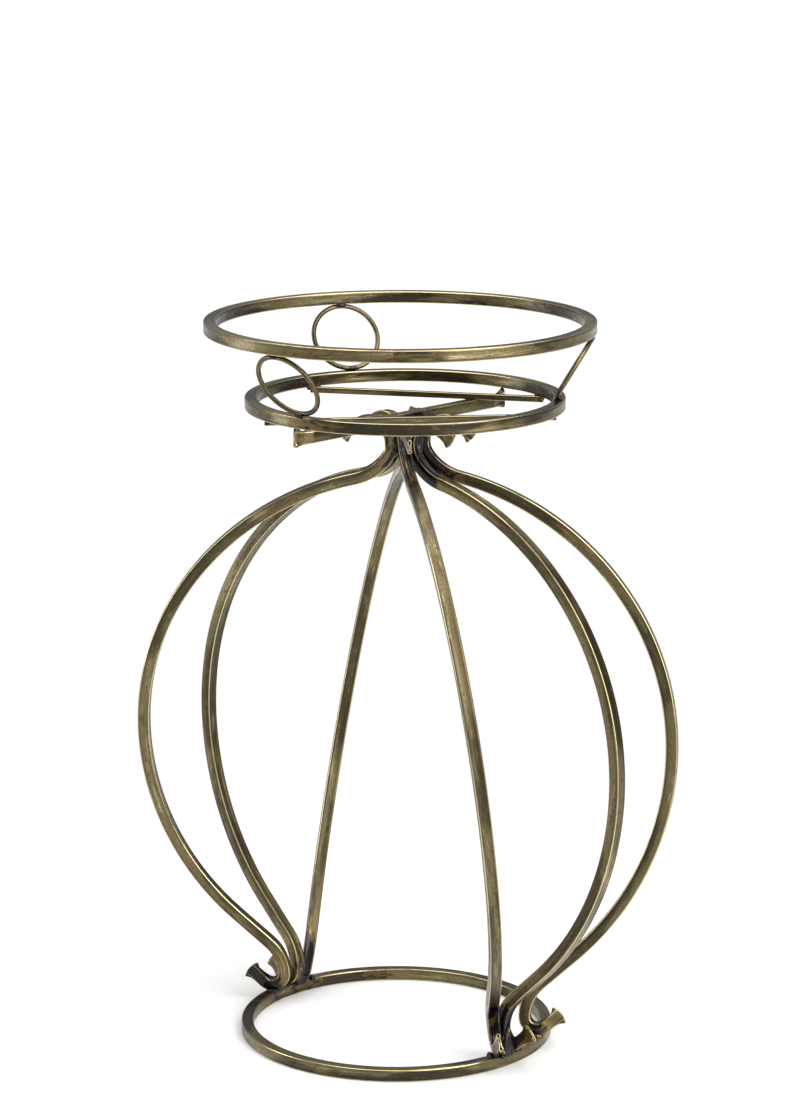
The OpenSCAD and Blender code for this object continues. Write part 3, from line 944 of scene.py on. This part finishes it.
def saw_rod(name, ends, seed):
    """A rod between two angles, under the middle of the holder ring's tube."""
    reach = HOLDER_R - HALF + ROD_LAP
    begin, end = (ring_spot(HOLDER_AT, reach, radians(angle), -HALF - ROD / 2) for angle in ends)
    way = end - begin
    bar = Bender((SAW_BEVEL, 0, QUARTER), ROD, ROD_CORNER, seed)
    bar.feed(way.length - 2 * SAW_BEVEL)
    bmesh.ops.recalc_face_normals(bar.bm, faces=bar.bm.faces[:])
    work_by_hand(bar)
    close_sawn_end(bar, bar.front, bar.state, 1)
    close_sawn_end(bar, *bar.start, -1)
    turn = Matrix.Rotation(atan2(way.y, way.x), 4, "Z")
    bmesh.ops.transform(bar.bm, matrix=Matrix.Translation(begin) @ turn, verts=bar.bm.verts[:])
    make_piece(bar.bm, name + "_bar", name, "rod_steel")


for rod in (("front_rod", FRONT_ROD_ENDS, 33), ("rear_rod", REAR_ROD_ENDS, 36)):
    saw_rod(*rod)

# %% [markdown]
# ## The hoops
#
# Round wire rolled to a small hoop, which leans outwards from the holder ring to the guard ring.
# It is a full spin again. The hoop's own butt joint stands on the holder ring, under its weld.

# %% Three hoops
WIRE_R = 2 * MM
WIRE_SIDES = 20
HOOP_SEED = 40
HOOP_GAP = GUARD_AT.z - HOLDER_AT.z - TUBE
HOOP_OUT = GUARD_R - HOLDER_R
HOOP_R = hypot(HOOP_OUT, HOOP_GAP - 2 * WIRE_R) / 2
HOOP_LEAN = atan2(HOOP_OUT, HOOP_GAP - 2 * WIRE_R)
HOOP_MIDDLE = Vector(((HOLDER_AT.x + GUARD_AT.x) / 2, 0, HOLDER_AT.z + TUBE + HOOP_GAP / 2))


def hoop_place(angle):
    """The matrix that leans a flat hoop out between the two rings."""
    out = Matrix.Translation(((HOLDER_R + GUARD_R) / 2, 0, 0)) @ Matrix.Rotation(HOOP_LEAN, 4, "Y")
    return Matrix.Translation(HOOP_MIDDLE) @ Matrix.Rotation(angle, 4, "Z") @ out


def roll_hoop(name, angle, seed):
    bm = bmesh.new()
    bmesh.ops.create_circle(bm, segments=WIRE_SIDES, radius=WIRE_R)
    add_layers(bm)
    for vert in bm.verts:
        vert.co = (HOOP_R + vert.co.x, 0, vert.co.y)
    bmesh.ops.spin(bm, geom=bm.verts[:] + bm.edges[:], cent=(0, 0, 0), axis=(0, 0, 1),
                   angle=FULL_TURN, steps=round(FULL_TURN * HOOP_R / WIRE_R),
                   use_merge=True, use_duplicate=False)
    unroll(bm, HOOP_R, seed)
    place = hoop_place(angle) @ Matrix.Rotation(QUARTER, 4, "Y")
    bmesh.ops.transform(bm, matrix=place, verts=bm.verts[:])
    make_piece(bm, name + "_wire", name, "hoop_wire")


for number, (hoop, angle) in enumerate(HOOPS.items()):
    roll_hoop(hoop, angle, HOOP_SEED + number * SEED_STEP)

# %% [markdown]
# ## Weld beads
#
# A weld bead is a chain of frozen drops, each lapping over the last, thicker in the middle than at
# its ends. A sphere is drawn out to the bead's length, gets a ripple for every drop and is then
# made lumpy with noise. A remesh could join the beads, but one that runs into the next already
# looks like melted metal, and they stay separate pieces of steel, as in the CAD model. The melted
# mass in a cleft between two feet is three such beads side by side. A bead is burnt all over, and
# only its lumps are rubbed bright.

# %% One bead
BEAD_RINGS, BEAD_SIDES = 26, 20
RIPPLE = 0.10
RIPPLE_PITCH = 2.2 * MM
LUMP = 0.28
LUMPS_PER_METRE = 260
BEAD_HEAT, BEAD_WEAR = 0.6, 0.7


def run_bead(bm, begin, end, radius, seed):
    """Lays one bead from a point to another. Its seed gives it lumps of its own."""
    stock, wear_and_shade = bm.verts.layers.float_vector["stock"], bm.verts.layers.float["wear_and_shade"]
    burn = bm.verts.layers.float["burn"]
    way = end - begin
    length = way.length + 2 * radius
    turn = way.to_track_quat("Z", "Y").to_matrix()
    made = bmesh.ops.create_uvsphere(bm, u_segments=BEAD_SIDES, v_segments=BEAD_RINGS, radius=1)
    for vert in made["verts"]:
        along = vert.co.z * length / 2
        ripple = 1 + RIPPLE * abs(sin(pi * along / RIPPLE_PITCH))
        local = (vert.co.xy * radius * ripple).to_3d()
        local.z = along
        spot = (begin + end) / 2 + turn @ local
        lump = noise.noise(spot * LUMPS_PER_METRE + Vector((seed, 0, 0)))
        vert[stock] = (local.x, local.y, along + seed)
        vert[wear_and_shade] = max(0.0, lump) * BEAD_WEAR
        vert[burn] = BEAD_HEAT
        swell = turn @ Vector((vert.co.x, vert.co.y, vert.co.z / 2))
        vert.co = spot + swell * radius * LUMP * lump


def new_beads():
    bm = bmesh.new()
    bm.verts.layers.float_vector.new("stock")
    bm.verts.layers.float.new("wear_and_shade")
    bm.verts.layers.float.new("burn")
    return bm


# %% Beads at the feet
FOOT_BEAD_R, FOOT_BEAD_HALF = 2.5 * MM, 3 * MM
CLEFT_R, CLEFT_FOOT_STEP, CLEFT_TOP_STEP, CLEFT_TOP_DROP = 3.2 * MM, 3.4 * MM, 2.2 * MM, 4 * MM
# Two legs, the height of the mass between them and how far out it sits.
LEFT_CLEFTS = [("leg_left", "leg_rear_left", 13 * MM, 0),
               ("leg_rear_left", "leg_rear", 25 * MM, -4 * MM)]
RIGHT_CLEFTS = [("leg_front", "leg_front_right", 30 * MM, 4 * MM)]


def foot_welds(name, legs, clefts, seed):
    """Beads along both sides of every foot, and three in each cleft between two feet."""
    bm = new_beads()
    for number, leg in enumerate(legs):
        foot, out, side = foot_place(leg), outward(leg), sideways(leg)
        for hand in (-1, 1):
            middle = foot + side * hand * HALF
            ends = [(middle + out * way * FOOT_BEAD_HALF).to_3d() for way in (-1, 1)]
            for end in ends:
                end.z = TUBE
            run_bead(bm, ends[0], ends[1], FOOT_BEAD_R, seed + number + hand / 4)
    for number, (a, b, height, out) in enumerate(clefts):
        middle = (foot_place(a) + foot_place(b)) / 2
        middle += middle.normalized() * out
        low, high = Vector((*middle, TUBE)), Vector((*middle, height))
        side = (foot_place(b) - foot_place(a)).normalized().to_3d()
        for hand in (-1, 0, 1):
            foot = low + side * hand * CLEFT_FOOT_STEP
            top = high + side * hand * CLEFT_TOP_STEP - Vector((0, 0, abs(hand) * CLEFT_TOP_DROP))
            run_bead(bm, foot, top, CLEFT_R, seed + number + hand / 3 + 0.1)
    make_piece(bm, name + "_beads", name, "weld")


foot_welds("left_foot_welds", LEFT_LEGS, LEFT_CLEFTS, 50)
foot_welds("right_foot_welds", RIGHT_LEGS, RIGHT_CLEFTS, 55)

# %% Beads at the neck
NECK_BEAD_R, NECK_BEAD_HALF, NECK_BEAD_OUT = 2.4 * MM, 6 * MM, 2.2 * MM
NECK_BEAD_SEED = 60
NECK_ROUND = ["leg_left", "leg_front", "leg_front_right", "leg_right", "leg_rear", "leg_rear_left"]

beads = new_beads()
for number, leg in enumerate(NECK_ROUND):
    neighbour = NECK_ROUND[(number + 1) % len(NECK_ROUND)]
    between = (neck_place(leg) + neck_place(neighbour)) / 2
    spot = between + (between - NECK).normalized() * NECK_BEAD_OUT
    middle = Vector((spot.x, spot.y, height_on(leg, NECK_X, NECK_Z)))
    reach = Vector((0, 0, NECK_BEAD_HALF))
    run_bead(beads, middle - reach, middle + reach, NECK_BEAD_R, NECK_BEAD_SEED + number)
make_piece(beads, "neck_beads", "neck_welds", "weld")

# %% Beads at the rods' ends
ROD_BEAD_R, ROD_BEAD_LENGTH, ROD_BEAD_OUT = 2.1 * MM, 1.5 * MM, 1.1 * MM
ROD_BEAD_SEED = 70

beads = new_beads()
for number, angle in enumerate(FRONT_ROD_ENDS + REAR_ROD_ENDS):
    across = Vector((-sin(radians(angle)), cos(radians(angle)), 0))
    middle = ring_spot(HOLDER_AT, HOLDER_R - HALF + ROD_BEAD_OUT, radians(angle), -HALF)
    for hand in (-1, 1):
        spot = middle + across * hand * (ROD + ROD_BEAD_R) / 2
        run_bead(beads, spot, spot + across * hand * ROD_BEAD_LENGTH, ROD_BEAD_R,
                 ROD_BEAD_SEED + number + hand / 4)
make_piece(beads, "rod_beads", "rod_welds", "weld")

# %% Beads at the hoops
HOOP_BEAD_R, HOOP_BEAD_HALF = 1.9 * MM, 2.5 * MM
HOOP_BEAD_SEED = 80

beads = new_beads()
for number, angle in enumerate(HOOPS.values()):
    out = Vector((cos(angle), sin(angle), 0))
    aside = Vector((-sin(angle), cos(angle), 0)) * HOOP_BEAD_HALF
    for way in (-1, 1):
        beside = WIRE_R + HOOP_BEAD_R / 2
        reach = (HOLDER_R + GUARD_R) / 2 + way * (HOOP_R * sin(HOOP_LEAN) - beside)
        height = HOOP_MIDDLE.z + way * (HOOP_GAP / 2 - HOOP_BEAD_R / 2)
        spot = Vector((HOOP_MIDDLE.x, 0, height)) + out * reach
        seed = HOOP_BEAD_SEED + number + way / 4
        run_bead(beads, spot - aside, spot + aside, HOOP_BEAD_R, seed)
make_piece(beads, "hoop_beads", "hoop_welds", "weld")

# %% [markdown]
# ## Camera, floor and light
#
# The camera stands where the photographer stood: about three metres away, a little above the
# stand, looking down a few degrees. A long lens keeps the rings' ellipses as flat as in the photo.
#
# Polished metal shows what is round it, so the light is the other half of this finish. White
# softboxes to the left, right and overhead give long highlights. The room glows at the camera's
# end, overhead and below the horizon, and stays dim at the sides, which keeps the tubes' edges
# dark. A large pale floor carries the shadow and fades into white.

# %% Camera
camera_data = bpy.data.cameras.new("camera")
camera = bpy.data.objects.new("camera", camera_data)
bpy.context.scene.collection.objects.link(camera)
bpy.context.scene.camera = camera
LENS_PIXELS, PHOTO_HEIGHT, SENSOR = 3688, 1120, 36
camera_data.sensor_width = SENSOR
camera_data.lens = LENS_PIXELS / PHOTO_HEIGHT * SENSOR
DISTANCE, EYE_HEIGHT = 2.927, 1.056
PITCH, YAW, ROLL = radians(12.62), radians(0.052), radians(-0.022)
camera.location = (0, -DISTANCE, EYE_HEIGHT)
camera.rotation_euler = (QUARTER - PITCH, ROLL, -YAW)
print("lens", round(camera_data.lens, 1), "mm, looking down", round(degrees(PITCH), 1), "degrees")

# %% White room
# Axis (1 is depth, 2 is up), where the glow begins and is full, and how strong.
ROOM_GLOW = 0.18
BACKDROP, CAMERA_END = (1, 0.45, 0.95, 0.15), (1, -0.5, -0.95, 0.42)
CEILING, GROUND = (2, 0.2, 0.9, 0.3), (2, -0.04, -0.12, 0.75)

bpy.context.scene.view_settings.view_transform = "Standard"
world = bpy.data.worlds.new("studio")
bpy.context.scene.world = world
world.use_nodes = True
room = Wiring(world.node_tree)
background = world.node_tree.nodes["Background"]
direction = room.node("TexCoord", {}).outputs["Generated"]
parts = room.node("SeparateXYZ", {0: direction}).outputs
glow = ROOM_GLOW
for axis, begins, full, strength in (BACKDROP, CAMERA_END, CEILING, GROUND):
    glow = room.math("MULTIPLY_ADD", room.between(parts[axis], begins, full), strength, glow)
seen = room.node("LightPath", {}).outputs["Is Camera Ray"]
glow = room.math("MAXIMUM", glow, seen)
world.node_tree.links.new(glow, background.inputs["Strength"])
background.inputs["Color"].default_value = (1, 1, 1, 1)

# %% Softboxes
# Place, what it looks at, width, height and power.
SOFTBOXES = {
    "softbox_top": ((0, 0.2, 2.5), (0, 0, 0.3), 2.8, 2.2, 50),
    "softbox_left": ((-1.9, 0.3, 0.95), (0, 0, 0.95), 0.6, 1.8, 14),
    "softbox_right": ((1.3, -1.25, 1.35), (0, 0, 0.55), 1.6, 2.3, 56),
}

for name, (place, target, width, height, power) in SOFTBOXES.items():
    data = bpy.data.lights.new(name, "AREA")
    data.shape = "RECTANGLE"
    data.size, data.size_y, data.energy = width, height, power
    lamp = bpy.data.objects.new(name, data)
    lamp.location = place
    lamp.rotation_euler = (Vector(target) - Vector(place)).to_track_quat("-Z", "Y").to_euler()
    bpy.context.scene.collection.objects.link(lamp)

# %% Floor
FLOOR_R, FLOOR_SIDES, FADE_FROM, FADE_TO = 2.2, 128, 0.3, 1.0
PAPER, PAPER_ROUGHNESS, PAPER_SHINE = (0.88, 0.88, 0.875, 1), 0.35, 0.3

bm = bmesh.new()
bmesh.ops.create_circle(bm, cap_ends=True, segments=FLOOR_SIDES, radius=FLOOR_R)
floor_mesh = bpy.data.meshes.new("floor")
bm.to_mesh(floor_mesh)
bm.free()
floor = bpy.data.objects.new("floor", floor_mesh)
bpy.context.scene.collection.objects.link(floor)
paper = bpy.data.materials.new("white_paper")
paper.use_nodes = True
wires = Wiring(paper.node_tree)
shader = paper.node_tree.nodes["Principled BSDF"]
shader.inputs["Base Color"].default_value = PAPER
shader.inputs["Roughness"].default_value = PAPER_ROUGHNESS
shader.inputs["Specular IOR Level"].default_value = PAPER_SHINE
place = wires.node("TexCoord", {}).outputs["Object"]
reach = wires.node("VectorMath", {0: place}, operation="LENGTH").outputs["Value"]
far = wires.between(reach, FADE_FROM, FADE_TO)
white = wires.node("Emission", {"Color": (1, 1, 1, 1), "Strength": 1.0}).outputs[0]
blend = wires.node("MixShader", {0: far, 1: shader.outputs[0], 2: white}).outputs[0]
paper.node_tree.links.new(blend, paper.node_tree.nodes["Material Output"].inputs["Surface"])
floor_mesh.materials.append(paper)
